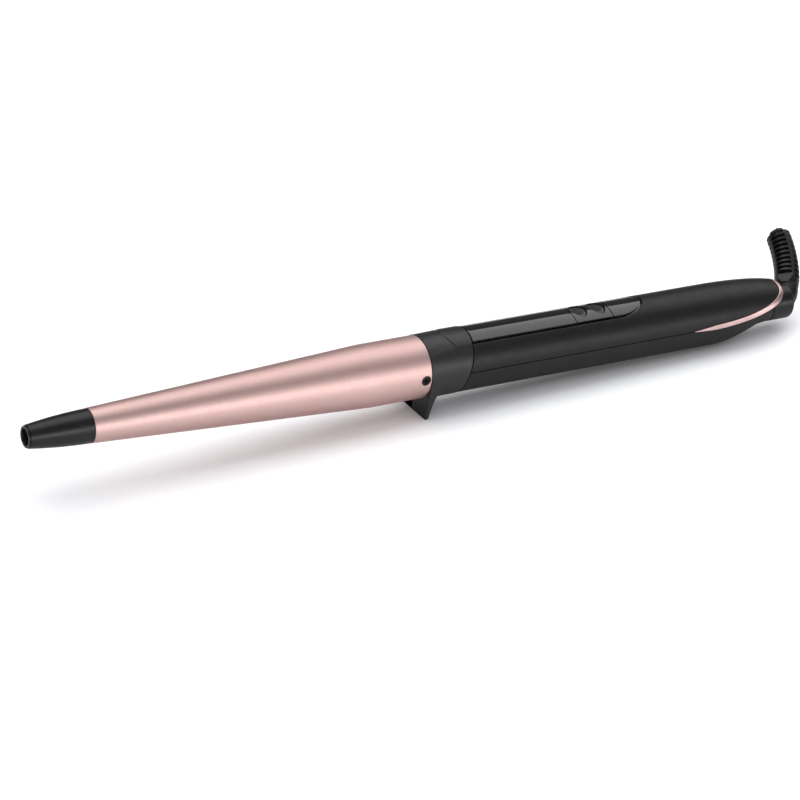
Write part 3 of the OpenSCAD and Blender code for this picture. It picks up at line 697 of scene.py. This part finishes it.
def build_cool_tip():
    """Tapered black tip with a beaded mouth and six short ribs inside its bore."""
    bm = bmesh.new()
    joint = BARREL_FRONT - 0.05
    body_end = TIP_MOUTH + 0.75
    start_r, end_r, bore_r = BARREL_TIP_R - 0.1, 4.5, 3.2
    spigot_r, spigot_len, pilot_r = 5.05, 1.65, 1.6
    floor = joint - 6.45
    body = []
    for u in np.linspace(0.03, 0.97, 24):
        fall = 0.25 * u + 0.75 * u * u
        body.append((joint + u * (body_end - joint), start_r - (start_r - end_r) * fall))

    def section(angle):
        rib = 0.35 * smooth_step((cos(6 * angle * DEG) - 0.75) / 0.2)
        points = [(joint + spigot_len, pilot_r), (joint + spigot_len, spigot_r), (joint, spigot_r)]
        points.append((joint, start_r))
        radii = [0, 0.2, 0, 0.15]
        points += body + [(body_end, end_r), (body_end + 0.15, 4.1), (TIP_MOUTH, 4.2)]
        radii += [0] * len(body) + [0.35, 0.1, 0.16]
        points += [(TIP_MOUTH, bore_r + 0.15), (TIP_MOUTH + 0.5, bore_r), (TIP_MOUTH + 1.4, bore_r)]
        points.append((TIP_MOUTH + 1.9, bore_r - rib))
        points += [(floor, bore_r - rib), (floor, pilot_r)]
        return fillet(points, radii + [0.1, 0, 0, 0, 0, 0])

    revolve(bm, section, turn_list(180))
    finish_piece("cool_tip_body", bm, "tip_black", "cool_tip")


# ---- Collar and foot ----

def soft_min(a, b, k=0.2):
    """The smaller of two numbers, blended where they are close."""
    low = min(a, b)
    return low - k * log(exp((low - a) / k) + exp((low - b) / k))


def build_collar():
    """Collar ring with its slanted rear edge, thumb pad and the foot that sweeps down from its face."""
    bm = bmesh.new()
    corner = atan2(FOOT_HALF_W, SOLE_Z) / DEG
    tangent = corner + acos(COLLAR_R / hypot(FOOT_HALF_W, SOLE_Z)) / DEG
    tangent_z = -COLLAR_R * cos(tangent * DEG)
    tangent_x = CREASE_X - CREASE_SLOPE * tangent_z
    front_r = BARREL_R + 0.12
    inner_r = front_r - 1.3
    face_lift_fade, lip_fade, almost = 50, 12, 0.98
    arc_mid_x, arc_sweep, arc_turn = 9.3, 3.0, 40
    pad_turn, pad_fade = 38, 5
    hollow_turn, hollow_fade = 34, 16
    groove_depth, groove_half = 0.16, 0.2

    def foot_wall(down, crease):
        """Back edge and radius of the foot's plate, from the ring's tangent to the sole."""
        out_r = soft_min(COLLAR_R / cos((tangent - down) * DEG), SOLE_Z / cos(down * DEG))
        share = (tangent_z + out_r * cos(down * DEG)) / (tangent_z + SOLE_Z)
        return min(tangent_x + (SOLE_LEN - tangent_x) * share, crease), out_r

    def section(angle):
        down, off_top = apart(angle, -90), apart(angle, 90)
        height = COLLAR_R * sin(angle * DEG)
        crease = max(0.35, CREASE_X - CREASE_SLOPE * height)
        rear = COLLAR_REAR + COLLAR_SLOPE * height
        on_foot = down < tangent
        if on_foot:
            back_x, face_r = foot_wall(down, crease)
            back_r = face_r
        else:
            face_r = COLLAR_R - (COLLAR_R - front_r) * smooth_step((down - tangent) / face_lift_fade)
            share = 1 - 0.65 * smooth_step((down - tangent) / lip_fade)
            back_x, back_r = crease * share * almost, face_r + (COLLAR_R - face_r) * share * almost
        arc_x = arc_mid_x + arc_sweep * min(off_top / arc_turn, 1.1) ** 1.3
        pad = 1 - smooth_step((off_top - pad_turn) / pad_fade)
        rise_x = crease + (arc_x - crease) * (1 - smooth_step((off_top - hollow_turn) / hollow_fade))

        def ring_r(x):
            return COLLAR_R if on_foot else face_r + (COLLAR_R - face_r) * min(1, x / rise_x)

        near_arc = np.linspace(arc_x - 0.6, arc_x + 0.6, 13)
        stations = np.concatenate([np.linspace(crease + 0.9, arc_x - 0.75, 6), near_arc,
                                   np.linspace(arc_x + 0.8, rear - 0.35, 8)])
        points = [(0, inner_r), (0, face_r), (back_x, back_r), (crease, ring_r(crease))]
        for x in stations:
            step = THUMB_PAD_RISE * smooth_step((x - arc_x) / 0.3) * pad
            groove = groove_depth * exp(-((x - arc_x) / groove_half) ** 2) * pad
            points.append((x, ring_r(x) + step - groove))
        end_r = COLLAR_R + THUMB_PAD_RISE * pad
        points += [(rear, end_r), (rear, SOCKET_R), (SOCKET_X, SOCKET_R), (SOCKET_X, inner_r)]
        return fillet(points, [0, 0.22, 0.22, 0.5] + [0] * len(stations) + [0.25, 0, 0, 0])

    fine = np.arange(-5, 5, 0.35)
    angles = set(np.round(turn_list(240), 3))
    for side in (-1, 1):
        angles |= set(np.round(side * corner - 90 + fine, 3))
    revolve(bm, section, sorted(angles))
    add_foot_rib(bm)
    finish_piece("collar_and_foot", bm, "collar_black", "collar")


def add_foot_rib(bm):
    """The rib that braces the foot from behind."""
    start, end, half = 0.4, 12.0, 1.6
    outline = [(start, -SOLE_Z + 0.05), (SOLE_LEN, -SOLE_Z + 0.05), (end, -12.35), (end, -12.0),
               (5, -12.0), (start, -SOLE_Z + 1)]
    sides = [[bm.verts.new((x, y, z)) for x, z in outline] for y in (-half, half)]
    walls = [bm.faces.new(sides[0]), bm.faces.new(sides[1][::-1])]
    for i in range(len(outline)):
        j = (i + 1) % len(outline)
        walls.append(bm.faces.new((sides[0][i], sides[1][i], sides[1][j], sides[0][j])))
    rims = [e for face in walls[:2] for e in face.edges]
    bmesh.ops.bevel(bm, geom=rims, offset=0.15, segments=3, profile=0.5, affect="EDGES")


# ---- Handle shells ----

def near_and_far(side, radius, stop):
    """A shell's edge along the trim on both sides, unrolled, for a from 0 to stop."""
    turns = np.concatenate([np.linspace(0, 60, 41), np.linspace(61, stop, 40)])
    edge = [trim_edge(a, side, SIDE_LINE) for a in turns]
    near = [unrolled(*place, radius) for place in edge]
    far = [unrolled(*place, radius, far_side=True) for place in edge]
    return near, far[::-1]


def build_upper_shell():
    """Top half of the grip, open at the front for the fascia and closed at the rear by the trim."""
    bm = bmesh.new()
    low = SIDE_LINE / GRIP_R
    near, far = near_and_far(1, top_radius, 90)
    notch = asin((FASCIA_HALF_W + SEAM) / GRIP_R)
    outline = [(collar_line(low, SEAM), SIDE_LINE)] + near + far
    outline += collar_edge(pi - low, CROWN + notch, 30) + fascia_nose(SEAM)[::-1]
    outline += collar_edge(CROWN - notch, low, 30)[:-1]
    wrapped_plate(bm, [resample(outline)], top_radius)
    add_ribbon(bm, 30, outer=1.3, inner_r=HUB_R + 0.15, scale=0.85)
    finish_piece("upper_cover", bm, "matte_black", "upper_shell")


def build_lower_shell():
    """Bottom half of the grip with its sweep up to the neck and two counterbores for the screws."""
    bm = bmesh.new()
    low = SIDE_LINE / GRIP_R
    near, far = near_and_far(-1, lower_radius, 66.5)
    near = [p for p in near if p[0] < NECK_END]
    far = [p - np.array((0, 2 * pi * GRIP_R)) for p in far if p[0] < NECK_END]
    outline = [(collar_line(-pi, SEAM), -pi * GRIP_R + SIDE_LINE)] + far[::-1]
    outline += [(NECK_END, s) for s in np.linspace(far[0][1], near[-1][1], 60)]
    outline += near[::-1] + collar_edge(-low, -pi + low, 50)
    screw_low, screw_high = span("shell_screws")
    head_r = (screw_high[1] - screw_low[1]) / 2
    bore = head_r + 0.2
    holes = []
    for x in (screw_low[0] + head_r, screw_high[0] - head_r):
        holes.append([(x + bore * cos(t), -CROWN * GRIP_R + bore * sin(t)) for t in full_turn(48)])
        add_cup(bm, x, bore)
    wrapped_plate(bm, [resample(outline), *holes], lower_radius)
    add_joint_backing(bm)
    finish_piece("lower_cover", bm, "matte_black", "lower_shell")


def add_joint_backing(bm):
    """The tongue behind each side seam, and a sleeve and fin behind the joint with the collar."""
    inner_r = GRIP_R - SHELL_WALL
    lean = COLLAR_SLOPE * GRIP_R
    start, end = COLLAR_REAR - lean - 0.9, COLLAR_REAR + lean + 2.0
    low, high = inner_r - 0.7, inner_r - 0.05
    sleeve = [(start, low), (start, high), (end, high), (end, low)]

    def fin(turn):
        front = collar_line(turn * DEG, -JOINT_LINE + 0.08)
        rear = collar_line(turn * DEG, SEAM - 0.06)
        bottom, top = inner_r - 0.6, GRIP_R - 0.55
        return [(front, bottom), (front, top), (rear, top), (rear, bottom)]

    revolve(bm, lambda turn: sleeve, turn_list(72))
    revolve(bm, fin, turn_list(72))
    front = end + 0.2
    for side in (-1, 1):
        tongue = bmesh.ops.create_cube(bm, size=1.0)["verts"]
        bmesh.ops.scale(bm, vec=(CLOSE_START - front, 0.5, 2.4), verts=tongue)
        bmesh.ops.translate(bm, vec=((CLOSE_START + front) / 2, side * (inner_r - 0.45), 0), verts=tongue)


def add_cup(bm, x, bore):
    """The tube under a screw's counterbore, closed round the shank."""
    seat, mouth, wall, shank_r = -6.0, -(BELLY_R - SHELL_WALL + 0.3), 0.5, 1.4
    loop = [(shank_r, seat), (bore, seat), (bore, mouth), (bore + wall, mouth),
            (bore + wall, seat + wall), (shank_r, seat + wall)]
    rings = [[bm.verts.new((x + r * cos(t), r * sin(t), z)) for r, z in loop] for t in full_turn(48)]
    stitch(bm, rings, close=True)


def add_ribbon(bm, start, outer, inner_r=None, scale=1.0):
    """A band along the trim's line, over the top and down the far side; outer is its surface's depth."""
    turns = np.concatenate([np.linspace(start, 60, 40), np.linspace(60.8, 90, 40)])
    levels = np.linspace(0, pi / 2, 5)
    thick, edge, crown_lift = 1.2, 0.22, 0.02
    crossing = 24

    def across(a):
        """Side-view points of the band's rounded outer side, with their depth."""
        upper, lower = trim_edge(a, 1, 0), trim_edge(a, -1, 0)
        mid, half_line = (upper + lower) / 2, (upper - lower) / 2 * scale
        half = max(norm(half_line), 1e-3)
        soft = min(edge, 0.45 * half)
        shares = [(1 - soft * (1 - cos(t)) / half, soft * (1 - sin(t))) for t in levels]
        profile = [(-u, d) for u, d in shares] + [(0.0, -crown_lift)] + shares[::-1]
        return [(mid + u * half_line, d) for u, d in profile]

    def station(a, part):
        """part 0 is the near side, 1 the far side, between them the top crossing."""
        ring = []
        for (x, z), depth in across(a):
            angle = asin(min(1.0, z / top_radius(x)))
            ring.append((x, angle + part * (pi - 2 * angle), outer + depth))
        for x, angle, _ in (ring[-1], ring[0]):
            inner = top_radius(x) - inner_r if inner_r else outer + thick
            ring.append((x, angle, max(inner, outer + 0.3)))
        return [bm.verts.new(polar(x, top_radius(x) - depth, angle)) for x, angle, depth in ring]

    rings = [station(a, 0) for a in turns]
    rings += [station(90, j / crossing) for j in range(1, crossing)]
    rings += [station(a, 1) for a in turns[::-1]]
    stitch_solid(bm, rings)


def build_trim():
    """Rose metal band that grows from a point on each side and wraps over the handle's rear."""
    bm = bmesh.new()
    add_ribbon(bm, 1.5, outer=-0.06)
    finish_piece("trim_band", bm, "trim_rose", "rear_trim")


# ---- Fascia, panel, buttons ----

def panel_outline(grow):
    """The insert's rectangle, made larger by grow."""
    x0, x1 = PANEL_START - grow, PANEL_END + grow
    low, high = over_top(-PANEL_HALF_W - grow), over_top(PANEL_HALF_W + grow)
    return resample([(x0, low), (x1, low), (x1, high), (x0, high)])


def build_fascia():
    """Glossy cover: a slightly lower rim all round, and a raised field before and behind the panel."""
    bm = bmesh.new()
    rim_depth, under, panel_gap = 1.1, 1.4, SEAM + 0.1
    base = [fascia_outline(0, 2 * SEAM), panel_outline(SEAM)]
    wrapped_plate(bm, base, top_radius, rim_depth, under, 0.05, step=(1.5, 0.6))
    fields = [fascia_outline(-RIM_W, 2 * SEAM + 0.1, end=PANEL_START - panel_gap),
              fascia_outline(-RIM_W, 0, start=PANEL_END + panel_gap)]
    for field in fields:
        wrapped_plate(bm, [field], top_radius, 0.02, rim_depth + 0.2, 0.08, step=(1.0, 0.45))
    finish_piece("fascia_cover", bm, "gloss_black", "fascia")


def button_size(node):
    """Middle, length and width of a button's visible cap."""
    low, high = span(node)
    size = high - low - 2 * BUTTON_LIP
    return (low[0] + high[0]) / 2, size[0], size[1]


def build_panel():
    """Insert with two oval openings for the buttons."""
    bm = bmesh.new()
    holes = []
    for node in ("power_button", "temperature_button"):
        middle, length, width = button_size(node)
        holes.append(oval_outline(middle, length + 2 * BUTTON_GAP, width + 2 * BUTTON_GAP))
    wrapped_plate(bm, [panel_outline(-0.08), *holes], top_radius, 0.02, 1.25, 0.08, step=(0.5, 0.45))
    finish_piece("button_surround", bm, "gloss_black", "button_panel")


def build_button(node, name, body):
    """Oval cap with a finger dish, set a little below the panel."""
    bm = bmesh.new()
    middle, length, width = button_size(node)
    dish = [(rho, BUTTON_SINK + BUTTON_DISH * cos(pi / 2 * rho / 0.9) ** 1.6)
            for rho in np.linspace(0.04, 0.88, 22)]
    rim = [(0.92, BUTTON_SINK), (0.955, BUTTON_SINK + 0.01), (0.985, BUTTON_SINK + 0.06),
           (1.0, BUTTON_SINK + 0.16), (1.0, BUTTON_FLOOR), (0.04, BUTTON_FLOOR)]
    rows = [[bm.verts.new(polar(x, top_radius(x) - depth, s / GRIP_R))
             for x, s in oval_outline(middle, length * rho, width * rho, 96)] for rho, depth in dish + rim]
    stitch_solid(bm, rows)
    finish_piece(name, bm, "button_black", node, body)


# ---- Cord outlet ----

def outlet(point):
    """From the outlet's own plane (bend towards +Z) to the row frame."""
    return Matrix.Rotation(-OUTLET_TURN * DEG, 3, "X") @ Vector(point)


def outlet_line(s):
    """Centre line after the elbow's start: (point, direction, inner normal) at length s."""

    def heading(t):
        return np.array((cos(t), 0, sin(t))), np.array((-sin(t), 0, cos(t)))

    turn = min(s / ELBOW_BEND, ELBOW_TURN * DEG)
    point = np.array((ELBOW_X + ELBOW_BEND * sin(turn), 0, ELBOW_BEND * (1 - cos(turn))))
    after = s - ELBOW_LEN
    if after > 0:
        along, side = heading(turn)
        bent = max(0.0, after - BOOT_BASE_LEN) / BOOT_BEND
        point = point + min(after, BOOT_BASE_LEN) * along
        point = point + BOOT_BEND * (sin(bent) * along + (1 - cos(bent)) * side)
        turn += bent
    return [outlet(vector) for vector in (point, *heading(turn))]


def tube_ring(bm, s, radius, turns):
    """A ring of vertices round the outlet's centre line; radius is one number or one per turn."""
    point, direction, normal = outlet_line(s)
    side = direction.cross(normal)
    radii = np.broadcast_to(radius, (len(turns),))
    return [bm.verts.new(point + float(r) * (cos(t) * normal - sin(t) * side))
            for r, t in zip(radii, turns)]


def build_hub():
    """Swivel hub and elbow in one moulding, blended by a fine remesh."""
    bm = bmesh.new()
    front, axis_r, weld = NECK_END + 0.2, 0.01, 0.02
    points = [(HUB_FRONT, axis_r), (HUB_FRONT, SPIGOT_R), (front, SPIGOT_R), (front, HUB_R),
              (HUB_REAR, HUB_R), (HUB_REAR, axis_r)]
    radii = [0, 0.3, 0, 0.3, 1.3, 0]
    revolve(bm, lambda turn: fillet(points, radii, 8), turn_list(96))
    turns = full_turn(96)
    end = ELBOW_LEN + OUTLET_NECK
    rings = [tube_ring(bm, s, ELBOW_R, turns) for s in np.linspace(0, end - 0.15, 24)]
    rings += [tube_ring(bm, end, ELBOW_R - 0.2, turns)]
    stitch_solid(bm, rings)
    bmesh.ops.remove_doubles(bm, verts=bm.verts, dist=weld)
    bmesh.ops.recalc_face_normals(bm, faces=bm.faces)
    rough = bpy.data.meshes.new("hub_rough")
    bm.to_mesh(rough)
    bm.free()
    carrier = put("hub_rough", rough)
    remesh = carrier.modifiers.new("remesh", "REMESH")
    remesh.mode, remesh.voxel_size = "VOXEL", 0.2
    smooth = carrier.modifiers.new("smooth", "SMOOTH")
    smooth.factor, smooth.iterations = 0.5, 6
    made = bpy.data.meshes.new_from_object(carrier.evaluated_get(bpy.context.evaluated_depsgraph_get()))
    bpy.data.objects.remove(carrier)
    bm = bmesh.new()
    bm.from_mesh(made)
    finish_piece("hub_and_elbow", bm, "hub_black", "swivel_hub", "cord_outlet", weld=False)


def slot_depth(along, degree):
    """How deep the strain relief is cut at a place along its curve and round it."""
    depth = 0.0
    for column in range(4):
        across = smooth_step((SLOT_HALF - apart(degree, SLOT_MIDDLE + 90 * column)) / SLOT_FADE)
        shifted = along - SLOT_FIRST - (column % 2) * SLOT_PITCH / 2
        level = min(max(round(shifted / SLOT_PITCH), 0), SLOT_LEVELS - 1)
        near = abs(shifted - level * SLOT_PITCH)
        inside_slot = smooth_step((SLOT_T / 2 + SLOT_EDGE - near) / (2 * SLOT_EDGE))
        depth = max(depth, SLOT_DEPTH * across * inside_slot)
    return depth


def flat_radius(degree, distance):
    """The two facing flats of the boot's base, in line with every other column of slots."""
    off = apart(degree, SLOT_MIDDLE + 90, 180)
    return distance / cos(off * DEG) if off < 60 else inf


def slot_stations(curve):
    """Lengths along the boot's curve that catch every slot's edges and the dome at the end."""
    edges = [SLOT_T / 2 + share * SLOT_EDGE for share in (-1, -1 / 3, 1 / 3, 1)]
    marks = [-edge for edge in edges] + [0] + edges
    middles = [SLOT_FIRST + step * SLOT_PITCH / 2 for step in range(2 * SLOT_LEVELS)]
    slots = [middle + mark for middle in middles for mark in marks]
    dome = curve - BOOT_DOME * (1 - np.sin(np.linspace(0, pi / 2, 9)))
    lengths = np.unique(np.round(np.concatenate([slots, np.linspace(0, curve - BOOT_DOME, 12), dome]), 3))
    return lengths[(lengths >= 0) & (lengths < curve - 0.1)]


def build_strain_relief():
    """Tapered foot, then a curve cut by four columns of staggered slots."""
    bm = bmesh.new()
    start = ELBOW_LEN + OUTLET_NECK + 0.05
    base_len = BOOT_BASE_LEN - OUTLET_NECK
    curve = BOOT_BEND * BOOT_TURN * DEG
    ramp_end = SLOT_FIRST + SLOT_PITCH / 2 - SLOT_T / 2
    fade_len, ramp_depth, flat_depth = 2.4, 0.75, 0.85
    offsets = [0, 6, 12, 18, 24, 30, 33.5, 34.3, 35.1, 36, 37.5, 41, 45]
    degrees = [SLOT_MIDDLE + 90 * column + sign * off for column in range(4) for off in offsets
               for sign in (-1, 1)]
    degrees = np.unique(np.round(np.mod(degrees, 360), 3))
    rows = []

    def add_row(length, radius):
        rows.append(tube_ring(bm, length, radius, degrees * DEG))

    for along, cut in ((0, 0.3), (0.12, 0.08), (0.3, 0), (1.0, 0)):
        add_row(start + along, BOOT_BASE_R - cut)
    for share in np.linspace(0.3, 0.97, 10):
        r = BOOT_BASE_R + (BOOT_R - BOOT_BASE_R) * smooth_step(share)
        ramp = BOOT_BASE_R - ramp_depth * share
        add_row(start + share * base_len, [min(r, flat_radius(d, ramp)) for d in degrees])
    base = start - 0.05 + base_len
    for along in slot_stations(curve):
        into = max(along - (curve - BOOT_DOME), 0.0) / BOOT_DOME
        outer = BOOT_R - BOOT_DOME * (1 - sqrt(1 - into * into))
        fade = min(1.0, (curve - along) / fade_len)
        radii = [outer - fade * slot_depth(along, d) for d in degrees]
        if along < ramp_end:
            radii = [min(r, flat_radius(d, BOOT_BASE_R - flat_depth)) for r, d in zip(radii, degrees)]
        add_row(base + along, radii)
    add_row(base + curve, BOOT_R - BOOT_DOME)
    add_row(base + curve, BOOT_BORE_R + 0.1)
    for along in [curve - 0.1, *(np.linspace(curve - 1, -base_len, 24) + 0.05)]:
        add_row(base + along, BOOT_BORE_R)
    stitch(bm, rows, close=True)
    finish_piece("strain_relief_boot", bm, "boot_rubber", "strain_relief", "cord_outlet")


# ---- Studio ----

def aim(item, place, target, roll=0.0):
    """Puts a light or the camera at place, looking at target."""
    item.location = place
    look = (Vector(target) - Vector(place)).to_track_quat("-Z", "Y")
    item.rotation_mode = "QUATERNION"
    item.rotation_quaternion = look @ Matrix.Rotation(roll, 3, "Z").to_quaternion()


def build_camera():
    """Long lens from the tip's side, a little above and rolled, as the wand is usually pictured."""
    azimuth, elevation, roll = -32.155 * DEG, 26.919 * DEG, 5.338 * DEG
    distance = 1.17623
    target = Vector((-0.00605, 0.0, -0.01366))
    data = bpy.data.cameras.new("camera")
    data.lens, data.sensor_width = 135.09, 36.0
    data.clip_start, data.clip_end = 0.05, 50.0
    camera = put("camera", data)
    back = Vector((sin(azimuth) * cos(elevation), -cos(azimuth) * cos(elevation),
                   sin(elevation)))
    aim(camera, target + back * distance, target, roll)
    bpy.context.scene.camera = camera


def build_floor():
    """Pale floor that touches the foot's sole and the rear of the belly; it mirrors darker than it is."""
    touch_x, half, clear = 140.4, 1.6, 0.00002
    touch_z = -lower_radius(touch_x, -pi / 2)
    tilt = atan2(touch_z + SOLE_Z, touch_x - SOLE_LEN)
    mesh = bpy.data.meshes.new("floor")
    corners = [(-half, -half, 0), (half, -half, 0), (half, half, 0), (-half, half, 0)]
    mesh.from_pydata(corners, [], [(0, 1, 2, 3)])
    floor = put("floor", mesh)
    floor.location = (SOLE_LEN * MM, 0, -SOLE_Z * MM - clear)
    floor.rotation_euler = (0, -tilt, 0)
    finish = Finish("floor_paper", Roughness=0.6)
    tint = finish.colours(finish.noise(3, 4), (0.90, 0.905, 0.92), (0.92, 0.925, 0.94))
    mesh.materials.append(finish.surface(tint, None, finish.noise(400, 4), 0.02))
    share = finish.maths("MULTIPLY", finish.node("ShaderNodeLightPath").outputs["Is Glossy Ray"], 0.4)
    dark = finish.node("ShaderNodeBsdfDiffuse", {"Color": (0, 0, 0, 1)}).outputs[0]
    mixed = finish.node("ShaderNodeMixShader", {0: share, 1: finish.shader.outputs[0], 2: dark}).outputs[0]
    finish.tree.links.new(mixed, finish.tree.nodes["Material Output"].inputs["Surface"])


def area_light(name, direction_deg, distance, x, size_x, size_y, radiance):
    """A soft box seen from the wand at an angle round its axis; radiance is relative to white."""
    data = bpy.data.lights.new(name, "AREA")
    data.shape = "RECTANGLE"
    data.size, data.size_y = size_x, size_y
    data.energy = radiance * pi * size_x * size_y
    light = put(name, data)
    aim(light, polar(x, distance, direction_deg * DEG), (x, 0, 0))
    return light


def build_lights():
    """Overhead box a little behind the wand, a low bright card in front of it and a pale surround."""
    area_light("overhead_box", 107, 1.0, 0.55, 2.4, 1.0, 1.5)
    area_light("front_card", 9, 1.6, 0.3, 3.6, 0.55, 3.5)
    area_light("floor_wash", 95, 1.5, 0.2, 5.0, 4.0, 1.1).visible_glossy = False


def build_world():
    """White to the camera, dim and slightly blue to everything else."""
    world = bpy.data.worlds.new("studio")
    world.use_nodes = True
    nodes, links = world.node_tree.nodes, world.node_tree.links
    seen = nodes["Background"]
    seen.inputs["Color"].default_value = (1, 1, 1, 1)
    dim = nodes.new("ShaderNodeBackground")
    dim.inputs["Color"].default_value = (0.93, 0.96, 1.0, 1)
    dim.inputs["Strength"].default_value = 0.10
    mix, path = nodes.new("ShaderNodeMixShader"), nodes.new("ShaderNodeLightPath")
    links.new(path.outputs["Is Camera Ray"], mix.inputs["Fac"])
    links.new(dim.outputs[0], mix.inputs[1])
    links.new(seen.outputs[0], mix.inputs[2])
    links.new(mix.outputs[0], nodes["World Output"].inputs["Surface"])
    bpy.context.scene.world = world
    bpy.context.scene.view_settings.view_transform = "Standard"


dress_cad_nodes()
build_barrel()
build_barrel_screws()
build_cool_tip()
build_collar()
build_upper_shell()
build_lower_shell()
build_trim()
build_fascia()
build_panel()
build_button("power_button", "power_cap", "power_key")
build_button("temperature_button", "temperature_cap", "temperature_key")
build_hub()
build_strain_relief()
build_camera()
build_floor()
build_lights()
build_world()
